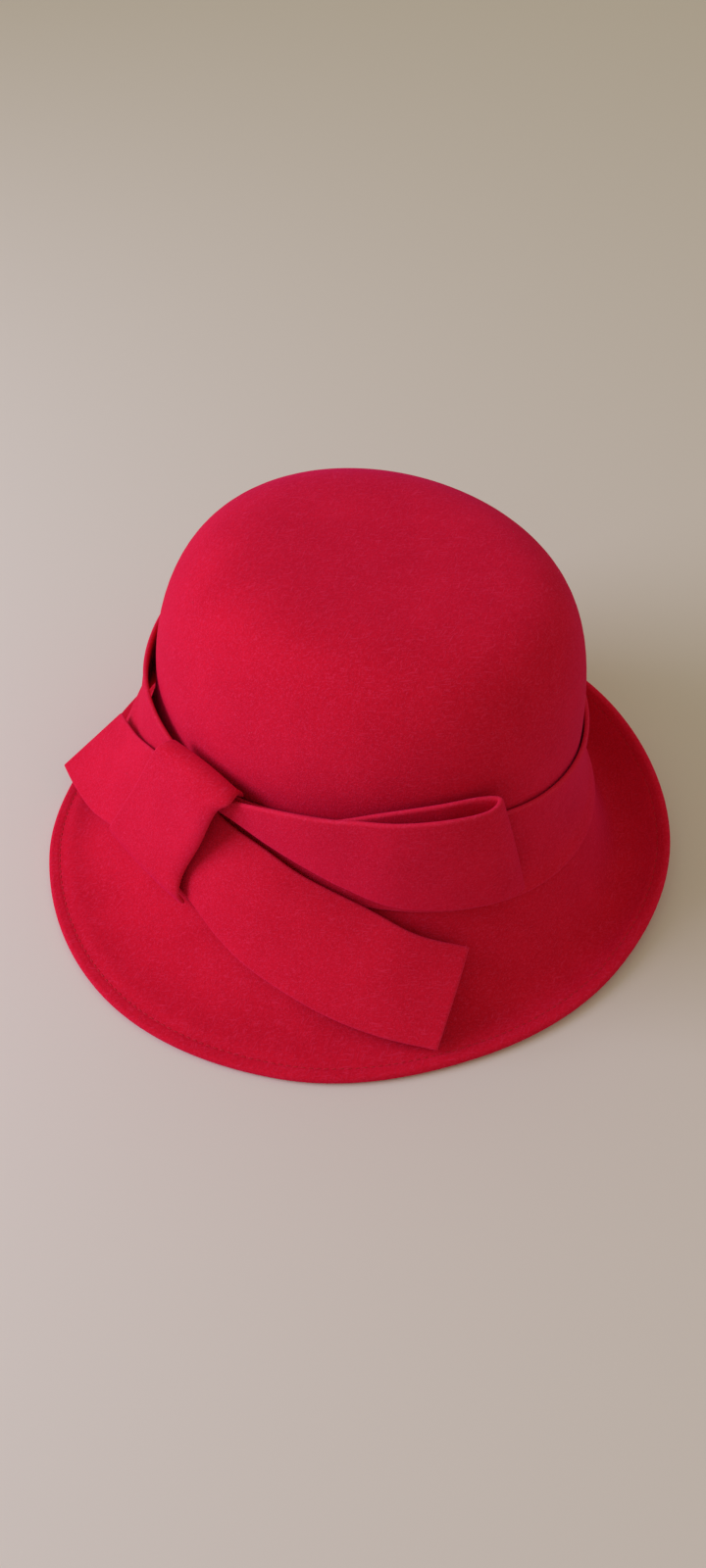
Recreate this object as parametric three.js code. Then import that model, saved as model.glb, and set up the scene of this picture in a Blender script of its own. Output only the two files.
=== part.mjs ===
// Cloche hat of red wool felt: one blocked felt body, a felt band, and a felt bow of one loop,
// two tails and a wrap on the wearer's right side.
// Millimetres, +Z up. The front of the hat faces -Y and the wearer's right side faces -X.
// A turn is an angle round the head in degrees: 0 at the bow on the right side, 90 at the front,
// 180 at the left side and 270 at the back.
// A drop is a distance down the skin of the hat from the band line, and a lift is a distance off it.
import * as THREE from 'three';

// Driving dimensions
const FELT = 2.2;
const HEM_THICKNESS = 4.0;
const HEM_WIDTH = 7;

const CROWN_HALF_LENGTH = 104;
const CROWN_HALF_WIDTH = 84;
const CROWN_TOP = 155;
const CROWN_WIDEST = 78;
const CROWN_ROUNDNESS = 0.31;
const CROWN_SHOULDER = 1.38;
const CROWN_LEAN = 13;
const LEAN_POWER = 1.5;
const BAND_LINE = 91;

const WALL_FLARE = 5;
const BREAK_HEIGHT = 44;
const WALL_UPPER = { out: 0, z: 66 };
const WALL_LOWER = { out: 1.5, z: 55 };
const BRIM_STEEP_DROP = 9;
const BRIM_STEEP_OUT = 3;
const BRIM_STEEP_SHARE = 0.12;
const BRIM_EASE_SHARE = 0.45;
const CURL_FLAT_SHARE = 0.5;
const CURL_RISE = { out: 0.8, z: 0.6 };
const HEM_START_SHARE = 0.55;
const LOW_ABOVE_HEM = 1;
const STRAIGHT_CORNERS = [0.3, 0.7];
const FLAT_WITHIN = 0.6;

const TURN_STEPS = 72;
const DOME_STEPS = 11;
const DOME_CROWDING = 1.6;
const WALL_STEPS = 4;
const SLOPE_STEPS = 6;
const CURL_STEPS = 3;
const HEM_STEPS = 2;
const BAND_ACROSS = 4;
const STRIP_ACROSS = 4;
const WRAP_ACROSS = 7;
const WRAP_CROWDING = 2.2;

// The wrap's front edge is rolled down over the first part of its width
const ROLL_SHARE = 0.12;

// How far each strip of the bow rises halfway across, and its steps along
const [RIGHT_BULGE, RIGHT_ALONG] = [1.5, 24];
const [LEFT_BULGE, LEFT_ALONG] = [0, 20];
const [LOOP_BULGE, LOOP_ALONG] = [0.5, 56];
const [WRAP_BULGE, WRAP_ALONG] = [1, 26];

// How far apart the points lie that give the direction square to the skin
const AROUND_DEGREES = 1;
const DOWN_SKIN = 3;

const FELT_LIGHT = 0xc4122f;
const FELT_MID = 0xbc112c;

// The brim every 30 degrees: how far it reaches out from the crown's oval, how far out its lowest
// line lies, and how high its edge is turned up above that line
const BRIM = [
  { turn: 0, reach: 80, low_out: 66, edge_up: 0 },
  { turn: 30, reach: 72, low_out: 59, edge_up: 0 },
  { turn: 60, reach: 56, low_out: 44, edge_up: 1 },
  { turn: 90, reach: 49, low_out: 34, edge_up: 5 },
  { turn: 120, reach: 47, low_out: 29, edge_up: 15 },
  { turn: 150, reach: 38.5, low_out: 23, edge_up: 24 },
  { turn: 180, reach: 30, low_out: 18, edge_up: 24 },
  { turn: 210, reach: 27, low_out: 17, edge_up: 17 },
  { turn: 240, reach: 29, low_out: 18, edge_up: 8 },
  { turn: 270, reach: 33, low_out: 22, edge_up: 1 },
  { turn: 300, reach: 41.5, low_out: 30, edge_up: 0 },
  { turn: 330, reach: 67.5, low_out: 53, edge_up: 0 },
];

// The band: where its two edges lie on the skin and how far the middle of its felt stands off it
const BAND = [
  { turn: 0, top_drop: 14, bottom_drop: 58, top_lift: 2.6, bottom_lift: 2.6 },
  { turn: 30, top_drop: 2, bottom_drop: 53, top_lift: 1.8, bottom_lift: 1.8 },
  { turn: 60, top_drop: -1, bottom_drop: 53, top_lift: 1.8, bottom_lift: 1.8 },
  { turn: 90, top_drop: 3, bottom_drop: 55, top_lift: 1.8, bottom_lift: 1.8 },
  { turn: 120, top_drop: 7, bottom_drop: 58, top_lift: 1.8, bottom_lift: 1.8 },
  { turn: 150, top_drop: 7, bottom_drop: 57, top_lift: 1.8, bottom_lift: 1.8 },
  { turn: 180, top_drop: 4, bottom_drop: 54, top_lift: 1.8, bottom_lift: 1.8 },
  { turn: 210, top_drop: 2, bottom_drop: 52, top_lift: 1.8, bottom_lift: 1.8 },
  { turn: 240, top_drop: 4, bottom_drop: 54, top_lift: 1.8, bottom_lift: 2.0 },
  { turn: 270, top_drop: 8, bottom_drop: 58, top_lift: 2.0, bottom_lift: 4.5 },
  { turn: 300, top_drop: 9, bottom_drop: 60, top_lift: 5.3, bottom_lift: 11.3 },
  { turn: 330, top_drop: 9, bottom_drop: 57, top_lift: 7.5, bottom_lift: 8.5 },
];

// Each strip of the bow has a row for each section: where its two edges lie, and how far the middle
// of the felt stands off the skin there
const RIGHT_TAIL = [
  { top_turn: -3, top_drop: 24, top_lift: 5.4, bottom_turn: -3, bottom_drop: 76, bottom_lift: 4.0 },
  { top_turn: 4, top_drop: 25, top_lift: 8.0, bottom_turn: 3, bottom_drop: 78, bottom_lift: 5.0 },
  { top_turn: 15, top_drop: 28, top_lift: 8.0, bottom_turn: 11, bottom_drop: 84, bottom_lift: 5.5 },
  { top_turn: 25, top_drop: 34.5, top_lift: 8.0, bottom_turn: 20, bottom_drop: 90, bottom_lift: 6.0 },
  { top_turn: 40, top_drop: 46, top_lift: 8.0, bottom_turn: 33, bottom_drop: 98, bottom_lift: 6.0 },
  { top_turn: 51, top_drop: 57, top_lift: 8.0, bottom_turn: 44, bottom_drop: 106, bottom_lift: 5.0 },
  { top_turn: 62, top_drop: 66, top_lift: 7.0, bottom_turn: 54, bottom_drop: 113, bottom_lift: 3.0 },
];

const LEFT_TAIL = [
  { top_turn: -8, top_drop: 21, top_lift: 6.7, bottom_turn: -8, bottom_drop: 74, bottom_lift: 4.0 },
  { top_turn: -14, top_drop: 22, top_lift: 8.0, bottom_turn: -15, bottom_drop: 78, bottom_lift: 4.5 },
  { top_turn: -23, top_drop: 26, top_lift: 10.0, bottom_turn: -24, bottom_drop: 84, bottom_lift: 6.0 },
  { top_turn: -34.5, top_drop: 38, top_lift: 11.7, bottom_turn: -33.5, bottom_drop: 96.5, bottom_lift: 7.0 },
  { top_turn: -43, top_drop: 50, top_lift: 13.1, bottom_turn: -41.5, bottom_drop: 107.5, bottom_lift: 8.0 },
  { top_turn: -49.3, top_drop: 56, top_lift: 13.9, bottom_turn: -47.8, bottom_drop: 116.5, bottom_lift: 8.0 },
];

// The loop goes out to its fold near the front and comes back behind itself
const LOOP = [
  { top_turn: 1, top_drop: 12, top_lift: 8.6, bottom_turn: 1, bottom_drop: 19, bottom_lift: 8.6 },
  { top_turn: 9, top_drop: 5, top_lift: 9.5, bottom_turn: 9, bottom_drop: 18, bottom_lift: 9.0 },
  { top_turn: 19, top_drop: -2, top_lift: 10.0, bottom_turn: 17, bottom_drop: 21, bottom_lift: 9.5 },
  { top_turn: 29, top_drop: -7, top_lift: 11.0, bottom_turn: 26, bottom_drop: 25, bottom_lift: 10.5 },
  { top_turn: 37, top_drop: -11, top_lift: 12.0, bottom_turn: 35, bottom_drop: 31, bottom_lift: 11.0 },
  { top_turn: 46, top_drop: -14, top_lift: 14.0, bottom_turn: 46, bottom_drop: 38, bottom_lift: 12.0 },
  { top_turn: 56, top_drop: -16, top_lift: 14.5, bottom_turn: 59, bottom_drop: 41, bottom_lift: 12.0 },
  { top_turn: 65, top_drop: -15.5, top_lift: 12.5, bottom_turn: 71, bottom_drop: 43, bottom_lift: 11.5 },
  { top_turn: 69, top_drop: -16, top_lift: 8.0, bottom_turn: 77, bottom_drop: 45, bottom_lift: 8.0 },
  { top_turn: 65, top_drop: -16, top_lift: 5.0, bottom_turn: 71, bottom_drop: 43, bottom_lift: 5.6 },
  { top_turn: 55, top_drop: -15, top_lift: 4.8, bottom_turn: 57, bottom_drop: 40, bottom_lift: 5.4 },
  { top_turn: 42, top_drop: -10, top_lift: 4.8, bottom_turn: 42, bottom_drop: 36, bottom_lift: 5.1 },
  { top_turn: 28, top_drop: 1, top_lift: 4.9, bottom_turn: 27, bottom_drop: 26, bottom_lift: 5.0 },
  { top_turn: 14, top_drop: 8, top_lift: 5.2, bottom_turn: 14, bottom_drop: 23, bottom_lift: 5.2 },
  { top_turn: 1, top_drop: 13, top_lift: 5.5, bottom_turn: 1, bottom_drop: 20, bottom_lift: 5.5 },
];

// The wrap runs over the other strips from the top of the band down to the brim. Its two edges face
// the front and the back, and lie at a height and a distance out from the crown's oval. The roll is
// how far the front edge bends down
const WRAP = [
  { front_turn: 8.5, front_out: 3.5, front_z: 84.5, back_turn: -14, back_out: 4.5, back_z: 83.5, roll: 0 },
  { front_turn: 8.5, front_out: 7.0, front_z: 89.5, back_turn: -14, back_out: 7.5, back_z: 88, roll: 1 },
  { front_turn: 8, front_out: 13.0, front_z: 90, back_turn: -14.5, back_out: 12.5, back_z: 87.5, roll: 3 },
  { front_turn: 5, front_out: 17.5, front_z: 84, back_turn: -16, back_out: 16.0, back_z: 79, roll: 5 },
  { front_turn: 1.5, front_out: 23.0, front_z: 61, back_turn: -18.5, back_out: 23.5, back_z: 61, roll: 5 },
  { front_turn: -0.5, front_out: 29.2, front_z: 41.5, back_turn: -21, back_out: 31.0, back_z: 44, roll: 4 },
  { front_turn: 0, front_out: 33.6, front_z: 32, back_turn: -23, back_out: 37.5, back_z: 29, roll: 2.5 },
  { front_turn: 1, front_out: 32.4, front_z: 25.5, back_turn: -23.5, back_out: 35.5, back_z: 23.5, roll: 0.5 },
];

const radians = THREE.MathUtils.degToRad;
const mix = THREE.MathUtils.lerp;

// One column of a table that goes round the head, smoothed through the rows on both sides
function columnAt(table, column, turn) {
  const place = THREE.MathUtils.euclideanModulo(turn, 360) / (360 / table.length);
  const row = Math.floor(place);
  const part = place - row;
  const value = (step) => table[(row + step + table.length) % table.length][column];
  const rise = (value(1) - value(-1)) / 2;
  const nextRise = (value(2) - value(0)) / 2;
  const bend = part * part * (3 - 2 * part);
  return mix(value(0), value(1), bend)
    + rise * part * (1 - part) ** 2
    - nextRise * part * part * (1 - part);
}

// A point beside the crown's oval: shrink scales the oval, out steps off it squarely
function besideOval(turn, shrink, out, z) {
  const angle = radians(turn);
  const across = new THREE.Vector2(
    -Math.cos(angle) / CROWN_HALF_WIDTH,
    -Math.sin(angle) / CROWN_HALF_LENGTH,
  ).normalize();
  const above = Math.max(0, z - CROWN_WIDEST) / (CROWN_TOP - CROWN_WIDEST);
  return new THREE.Vector3(
    -CROWN_HALF_WIDTH * shrink * Math.cos(angle) + out * across.x,
    -CROWN_HALF_LENGTH * shrink * Math.sin(angle) + out * across.y - CROWN_LEAN * above ** LEAN_POWER,
    z,
  );
}

// The wall and the brim on one meridian, as four curves with their numbers of steps: the wall down
// to the break, the slope down to the lowest line, the curl up from it, and the straight hem
function brimProfile(turn) {
  const reach = columnAt(BRIM, 'reach', turn);
  const lowOut = columnAt(BRIM, 'low_out', turn);
  const edgeUp = Math.max(0, columnAt(BRIM, 'edge_up', turn));
  const flat = 1 - Math.min(1, edgeUp / HEM_THICKNESS);
  const lowZ = mix(FELT, HEM_THICKNESS + LOW_ABOVE_HEM, flat);
  const edgeZ = mix(lowZ + edgeUp, HEM_THICKNESS, flat);
  const run = lowOut - WALL_FLARE;
  const tilt = Math.atan2(edgeUp, reach - lowOut);
  const wallTop = { out: 0, z: CROWN_WIDEST };
  const brimBreak = { out: WALL_FLARE, z: BREAK_HEIGHT };
  const steep = {
    out: WALL_FLARE + BRIM_STEEP_OUT + BRIM_STEEP_SHARE * run,
    z: BREAK_HEIGHT - BRIM_STEEP_DROP,
  };
  const eased = { out: lowOut - BRIM_EASE_SHARE * run, z: lowZ };
  const low = { out: lowOut, z: lowZ };
  const edge = { out: reach, z: edgeZ };
  const hem = {
    out: reach - HEM_WIDTH * Math.cos(tilt),
    z: mix(mix(lowZ, edgeZ, HEM_START_SHARE), HEM_THICKNESS, flat),
  };
  const curlStart = { out: mix(lowOut, hem.out, CURL_FLAT_SHARE), z: lowZ };
  const curlEnd = { out: mix(lowOut, hem.out, CURL_RISE.out), z: mix(lowZ, hem.z, CURL_RISE.z) };
  const [hemNear, hemFar] = STRAIGHT_CORNERS.map(
    (part) => ({ out: mix(hem.out, edge.out, part), z: mix(hem.z, edge.z, part) }),
  );
  return [
    [WALL_STEPS, wallTop, WALL_UPPER, WALL_LOWER, brimBreak],
    [SLOPE_STEPS, brimBreak, steep, eased, low],
    [CURL_STEPS, low, curlStart, curlEnd, hem],
    [HEM_STEPS, hem, hemNear, hemFar, edge],
  ];
}

// The outer skin on one meridian, from the top of the crown to the edge of the brim
function meridian(turn) {
  const points = [];
  for (let step = 0; step <= DOME_STEPS; step += 1) {
    const climb = (Math.PI / 2) * (1 - (step / DOME_STEPS) ** DOME_CROWDING);
    const shrink = step === 0 ? 0 : Math.cos(climb) ** CROWN_ROUNDNESS;
    const z = CROWN_WIDEST + (CROWN_TOP - CROWN_WIDEST) * Math.sin(climb) ** CROWN_SHOULDER;
    points.push(besideOval(turn, shrink, 0, z));
  }
  for (const [steps, ...corners] of brimProfile(turn)) {
    const curve = new THREE.CubicBezierCurve(...corners.map(({ out, z }) => new THREE.Vector2(out, z)));
    for (let step = 1; step <= steps; step += 1) {
      const point = curve.getPoint(step / steps);
      points.push(besideOval(turn, 1, point.x, point.y));
    }
  }
  return points;
}

// A point on the skin at a turn and a drop below the band line
function onSkin(turn, drop) {
  const points = meridian(turn);
  let index = 1;
  while (points[index + 1].z > BAND_LINE) {
    index += 1;
  }
  const from = points[index];
  const to = points[index + 1];
  let left = drop + from.distanceTo(to) * ((from.z - BAND_LINE) / (from.z - to.z));
  while (left < 0 && index > 1) {
    index -= 1;
    left += points[index].distanceTo(points[index + 1]);
  }
  while (index < points.length - 2 && left > points[index].distanceTo(points[index + 1])) {
    left -= points[index].distanceTo(points[index + 1]);
    index += 1;
  }
  const span = points[index].distanceTo(points[index + 1]);
  return points[index].clone().lerp(points[index + 1], left / span);
}

// A point that stands off the skin
function offSkin(turn, drop, lift) {
  const around = onSkin(turn + AROUND_DEGREES, drop).sub(onSkin(turn - AROUND_DEGREES, drop));
  const down = onSkin(turn, drop + DOWN_SKIN).sub(onSkin(turn, drop - DOWN_SKIN));
  const outward = down.cross(around).normalize();
  return onSkin(turn, drop).addScaledVector(outward, lift);
}

// Closes a body from its points and its four-sided faces, with the faces turned outwards
function closedGeometry(points, quads) {
  const triangles = [];
  for (const [a, b, c, d] of quads) {
    if (a !== b && b !== c && a !== c) {
      triangles.push([a, b, c]);
    }
    if (a !== c && c !== d && a !== d) {
      triangles.push([a, c, d]);
    }
  }
  let volume = 0;
  for (const [a, b, c] of triangles) {
    volume += points[a].dot(points[b].clone().cross(points[c])) / 6;
  }
  const index = volume > 0 ? triangles.flat() : triangles.map(([a, b, c]) => [a, c, b]).flat();
  const geometry = new THREE.BufferGeometry();
  geometry.setAttribute('position', new THREE.Float32BufferAttribute(points.flatMap((p) => p.toArray()), 3));
  geometry.setIndex(index);
  geometry.computeVertexNormals();
  return geometry;
}

// Normals of a grid of points, from its neighbours along both directions
function gridNormals(grid, loops) {
  const last = grid.length - 1;
  return grid.map((row, i) => row.map((point, j) => {
    const before = loops ? (i + last) % grid.length : Math.max(0, i - 1);
    const after = loops ? (i + 1) % grid.length : Math.min(last, i + 1);
    const along = grid[after][j].clone().sub(grid[before][j]);
    const across = row[Math.min(row.length - 1, j + 1)].clone().sub(row[Math.max(0, j - 1)]);
    return along.cross(across).normalize();
  }));
}

// A sheet of felt: the grid is its middle, and half the felt lies on each side
function feltSheet(grid, loops = false) {
  const normals = gridNormals(grid, loops);
  const points = [];
  const width = grid[0].length;
  grid.forEach((row, i) => {
    row.forEach((point, j) => points.push(point.clone().addScaledVector(normals[i][j], FELT / 2)));
    row.forEach((point, j) => points.push(point.clone().addScaledVector(normals[i][j], -FELT / 2)));
  });
  const front = (i, j) => (i % grid.length) * 2 * width + j;
  const back = (i, j) => front(i, j) + width;
  const quads = [];
  const rows = loops ? grid.length : grid.length - 1;
  for (let i = 0; i < rows; i += 1) {
    for (let j = 0; j < width - 1; j += 1) {
      quads.push([front(i, j), front(i + 1, j), front(i + 1, j + 1), front(i, j + 1)]);
      quads.push([back(i, j), back(i, j + 1), back(i + 1, j + 1), back(i + 1, j)]);
    }
    quads.push([front(i, 0), back(i, 0), back(i + 1, 0), front(i + 1, 0)]);
    quads.push([front(i, width - 1), front(i + 1, width - 1), back(i + 1, width - 1), back(i, width - 1)]);
  }
  if (!loops) {
    for (let j = 0; j < width - 1; j += 1) {
      quads.push([front(0, j), front(0, j + 1), back(0, j + 1), back(0, j)]);
      quads.push([front(rows, j), back(rows, j), back(rows, j + 1), front(rows, j + 1)]);
    }
  }
  return closedGeometry(points, quads);
}

// The felt body: the skin from the crown's top to the brim's edge, and the same skin inside it
function bodyGeometry() {
  const turns = Array.from({ length: TURN_STEPS }, (_, step) => (360 * step) / TURN_STEPS);
  const outer = turns.map(meridian);
  const normals = gridNormals(outer, true);
  const rings = outer[0].length;
  const hemStart = rings - 1 - HEM_STEPS;
  const inner = outer.map((row, i) => row.map((point, j) => {
    const wall = j >= hemStart ? HEM_THICKNESS : FELT;
    const inward = normals[i][j].clone().multiplyScalar(normals[i][j].z > 0 ? -1 : 1);
    const under = point.clone().addScaledVector(inward, wall);
    under.z = under.z < FLAT_WITHIN ? 0 : under.z;
    return under;
  }));
  const top = new THREE.Vector3(0, outer[0][0].y, CROWN_TOP);
  const points = [top, top.clone().setZ(CROWN_TOP - FELT)];
  const quads = [];
  const outerAt = (i, j) => (j === 0 ? 0 : 2 + (i % TURN_STEPS) * (rings - 1) + j - 1);
  const innerAt = (i, j) => (j === 0 ? 1 : outerAt(i, j) + TURN_STEPS * (rings - 1));
  outer.forEach((row) => points.push(...row.slice(1)));
  inner.forEach((row) => points.push(...row.slice(1)));
  for (let i = 0; i < TURN_STEPS; i += 1) {
    for (let j = 0; j < rings - 1; j += 1) {
      quads.push([outerAt(i, j), outerAt(i, j + 1), outerAt(i + 1, j + 1), outerAt(i + 1, j)]);
      quads.push([innerAt(i, j), innerAt(i + 1, j), innerAt(i + 1, j + 1), innerAt(i, j + 1)]);
    }
    const edge = rings - 1;
    quads.push([outerAt(i, edge), innerAt(i, edge), innerAt(i + 1, edge), outerAt(i + 1, edge)]);
  }
  return closedGeometry(points, quads);
}

function bandGeometry() {
  const grid = [];
  for (let step = 0; step < TURN_STEPS; step += 1) {
    const turn = (360 * step) / TURN_STEPS;
    const at = (column) => columnAt(BAND, column, turn);
    const row = [];
    for (let across = 0; across <= BAND_ACROSS; across += 1) {
      const part = across / BAND_ACROSS;
      const drop = mix(at('top_drop'), at('bottom_drop'), part);
      row.push(offSkin(turn, drop, mix(at('top_lift'), at('bottom_lift'), part)));
    }
    grid.push(row);
  }
  return feltSheet(grid, true);
}

// A strip of felt between the two edges that its sections give. The parts say where its points lie
// across it, and raise says how far each of them stands off the straight line between the edges
function stripGeometry(topPoints, bottomPoints, alongSteps, parts, raise) {
  const top = new THREE.CatmullRomCurve3(topPoints, false, 'catmullrom');
  const bottom = new THREE.CatmullRomCurve3(bottomPoints, false, 'catmullrom');
  const flat = [];
  for (let step = 0; step <= alongSteps; step += 1) {
    const from = top.getPoint(step / alongSteps);
    const to = bottom.getPoint(step / alongSteps);
    flat.push(parts.map((part) => from.clone().lerp(to, part)));
  }
  const normals = gridNormals(flat, false);
  const grid = flat.map((row, i) => row.map((point, j) => {
    const outward = normals[i][j].dot(point) > 0 ? 1 : -1;
    return point.clone().addScaledVector(normals[i][j], outward * raise(parts[j], i / alongSteps));
  }));
  return feltSheet(grid);
}

const evenParts = (steps) => Array.from({ length: steps + 1 }, (_, step) => step / steps);

// A parabola that is highest halfway across the strip
const bulged = (height) => (part) => height * 4 * part * (1 - part);

// A strip whose table gives its edges by turn, drop and lift
function bowStrip(table, height, alongSteps) {
  const edge = (side) => table.map(
    (row) => offSkin(row[`${side}_turn`], row[`${side}_drop`], row[`${side}_lift`]),
  );
  return stripGeometry(edge('top'), edge('bottom'), alongSteps, evenParts(STRIP_ACROSS), bulged(height));
}

// The wrap: its front edge also bends down in a quarter of an ellipse
function wrapStrip(height, alongSteps) {
  const edge = (side) => WRAP.map(
    (row) => besideOval(row[`${side}_turn`], 1, row[`${side}_out`], row[`${side}_z`]),
  );
  const parts = evenParts(WRAP_ACROSS).map((part) => part ** WRAP_CROWDING);
  const rollAt = (way) => {
    const place = way * (WRAP.length - 1);
    const row = Math.min(Math.floor(place), WRAP.length - 2);
    return mix(WRAP[row].roll, WRAP[row + 1].roll, place - row);
  };
  const raise = (part, way) => {
    const into = Math.max(0, 1 - part / ROLL_SHARE);
    return bulged(height)(part) - rollAt(way) * (1 - Math.sqrt(1 - into * into));
  };
  return stripGeometry(edge('front'), edge('back'), alongSteps, parts, raise);
}

function feltPiece(name, geometry, colour) {
  const material = new THREE.MeshStandardMaterial({ color: colour, roughness: 0.95, metalness: 0 });
  const mesh = new THREE.Mesh(geometry, material);
  mesh.name = name;
  return mesh;
}

const hat = new THREE.Group();
hat.add(feltPiece('felt_body', bodyGeometry(), FELT_MID));
hat.add(feltPiece('band', bandGeometry(), FELT_MID));
hat.add(feltPiece('right_tail', bowStrip(RIGHT_TAIL, RIGHT_BULGE, RIGHT_ALONG), FELT_LIGHT));
hat.add(feltPiece('left_tail', bowStrip(LEFT_TAIL, LEFT_BULGE, LEFT_ALONG), FELT_LIGHT));
hat.add(feltPiece('bow_loop', bowStrip(LOOP, LOOP_BULGE, LOOP_ALONG), FELT_LIGHT));
hat.add(feltPiece('bow_wrap', wrapStrip(WRAP_BULGE, WRAP_ALONG), FELT_LIGHT));

// The origin goes under the middle of the whole hat, on the surface it rests on
const extent = new THREE.Box3().setFromObject(hat);
hat.position.set(-(extent.min.x + extent.max.x) / 2, -(extent.min.y + extent.max.y) / 2, -extent.min.z);

export default hat;
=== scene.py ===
# %% [markdown]
# A cloche hat of red wool felt. The hat is one blocked felt body, with a felt band round the crown
# and a flat felt bow on the wearer's right side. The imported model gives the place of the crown. The
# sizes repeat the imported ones, except that the wall behind the bow, the tails and the wrap lie up to
# 3 mm elsewhere, and the band's lower edge up to 11 mm lower behind the bow, to follow the photo.

import math

import bpy
import numpy as np
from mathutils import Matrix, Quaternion, Vector


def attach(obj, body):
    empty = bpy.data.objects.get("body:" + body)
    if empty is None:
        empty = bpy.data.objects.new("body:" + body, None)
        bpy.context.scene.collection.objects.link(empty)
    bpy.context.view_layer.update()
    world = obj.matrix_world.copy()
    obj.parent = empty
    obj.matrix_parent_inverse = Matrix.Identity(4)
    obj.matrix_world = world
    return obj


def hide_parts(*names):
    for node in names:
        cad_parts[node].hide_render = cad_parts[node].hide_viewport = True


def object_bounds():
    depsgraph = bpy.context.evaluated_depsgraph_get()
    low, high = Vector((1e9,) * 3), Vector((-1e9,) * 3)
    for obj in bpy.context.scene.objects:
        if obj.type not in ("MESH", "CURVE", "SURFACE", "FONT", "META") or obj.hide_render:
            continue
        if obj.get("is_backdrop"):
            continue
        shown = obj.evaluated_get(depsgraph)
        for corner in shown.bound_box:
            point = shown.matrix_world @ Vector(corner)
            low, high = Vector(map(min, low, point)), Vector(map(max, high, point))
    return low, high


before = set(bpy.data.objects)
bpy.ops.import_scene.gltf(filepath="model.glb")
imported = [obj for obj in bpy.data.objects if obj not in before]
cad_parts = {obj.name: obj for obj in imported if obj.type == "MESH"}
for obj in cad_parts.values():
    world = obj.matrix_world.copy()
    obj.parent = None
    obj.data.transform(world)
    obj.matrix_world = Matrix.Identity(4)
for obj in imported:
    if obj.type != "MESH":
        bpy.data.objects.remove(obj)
cad_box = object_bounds()
MM = 0.001


def node_points(name):
    """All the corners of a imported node, in millimetres."""
    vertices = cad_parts[name].data.vertices
    places = np.zeros(len(vertices) * 3)
    vertices.foreach_get("co", places)
    return places.reshape(-1, 3) / MM


print("nodes", sorted(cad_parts))

# %% [markdown]
# Felt has no threads: wool is wetted, rubbed and pressed until it holds together as a thick sheet.
# So every piece here is a sheet about 2 mm thick. The crown is an oval with a rounded top, and the
# brim has other sizes on each side of the head. These few sizes and short tables say it all. A turn
# is an angle round the head in degrees: 0 at the bow, 90 at the front, 180 at the left, 270 behind.

# %% Sizes of the body
FELT = 2.2
HEM_THICKNESS = 4.0
HEM_WIDTH = 7.0
HALF_LENGTH, HALF_WIDTH = 104.0, 84.0
CROWN_TOP, CROWN_WIDEST = 155.0, 78.0
CROWN_ROUNDNESS, CROWN_SHOULDER = 0.31, 1.38
CROWN_LEAN, LEAN_POWER = 13.0, 1.5
BAND_LINE = 91.0

BRIM = {
    "reach": [80, 72, 56, 49, 47, 38.5, 30, 27, 29, 33, 41.5, 67.5],
    "low_out": [66, 59, 44, 34, 29, 23, 18, 17, 18, 22, 30, 53],
    "edge_up": [0, 0, 1, 5, 15, 24, 24, 17, 8, 1, 0, 0],
    "wall_out": [0, 0, 0, 0, 0, 0, 0, 0, 0, 1, 2.5, 1.5],
}

felt_points = node_points("felt_body")
highest = felt_points[felt_points[:, 2].argmax()]
CENTRE = np.array([highest[0], highest[1] + CROWN_LEAN, 0.0])
print("the crown's oval stands round", CENTRE.round(2), "mm")

# %% [markdown]
# A table has a row every 30 degrees, and the hat needs a value at every turn. A cubic through the
# rows gives it: it has no corners, and the last row runs on into the first.

# %% Read a table round the head


def column(table, name, turn):
    """A column at any turn: between two rows the value eases from one to the other, plus a part
    that makes it leave each row with the slope of the row's two neighbours."""
    values = np.array(table[name], float)
    place = np.mod(turn, 360) / (360 / len(values))
    row = np.floor(place).astype(int)
    part = place - row
    before, start, end, after = (values[(row + step) % len(values)] for step in (-1, 0, 1, 2))
    ease = part * part * (3 - 2 * part)
    leave = (end - before) / 2 * part * (1 - part) ** 2
    reach = (after - start) / 2 * part * part * (1 - part)
    return start + (end - start) * ease + leave - reach


def beside_oval(turn, shrink, out, z):
    """A point at a height: on the crown's oval scaled by shrink, then out squarely from it. Above
    the widest line the oval also leans forward, by a power of the height."""
    angle = np.radians(turn)
    across = np.stack([-np.cos(angle) / HALF_WIDTH, -np.sin(angle) / HALF_LENGTH])
    across = across / np.linalg.norm(across, axis=0)
    above = np.clip((z - CROWN_WIDEST) / (CROWN_TOP - CROWN_WIDEST), 0, 1)
    x = -HALF_WIDTH * shrink * np.cos(angle) + out * across[0]
    y = -HALF_LENGTH * shrink * np.sin(angle) + out * across[1] - CROWN_LEAN * above**LEAN_POWER
    return np.stack([x, y, z + 0 * x], axis=-1)


print("the brim reaches", column(BRIM, "reach", np.arange(0, 360, 45)).round(1), "mm")

# %% [markdown]
# The skin of the hat is a grid. One direction goes round the head, and the other runs down from the
# top of the crown to the brim's edge: over the dome, down the wall, out along the slope, up the
# curl and along the hem. The dome is a power of a sine and a cosine. The others are Bezier curves,
# because a curve with four corners bends as steamed felt does, without waves. This cell places the
# corners of those four curves, each as a distance out from the oval and a height.

# %% The corners of the wall and the brim
WALL_FLARE, BREAK_HEIGHT = 5.0, 44.0
WALL_UPPER, WALL_LOWER = (0.0, 66.0), (1.5, 55.0)
STEEP_OUT, STEEP_SHARE, STEEP_DROP = 3.0, 0.12, 9.0
EASE_SHARE = 0.45
LOW_ABOVE_HEM = 1.0
CURL_FLAT_SHARE = 0.5
CURL_RISE_OUT, CURL_RISE_UP = 0.8, 0.6
HEM_START_SHARE = 0.55
STRAIGHT_CORNERS = (0.3, 0.7)
WALL_STEPS, SLOPE_STEPS, CURL_STEPS, HEM_STEPS = 12, 24, 10, 16


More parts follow.
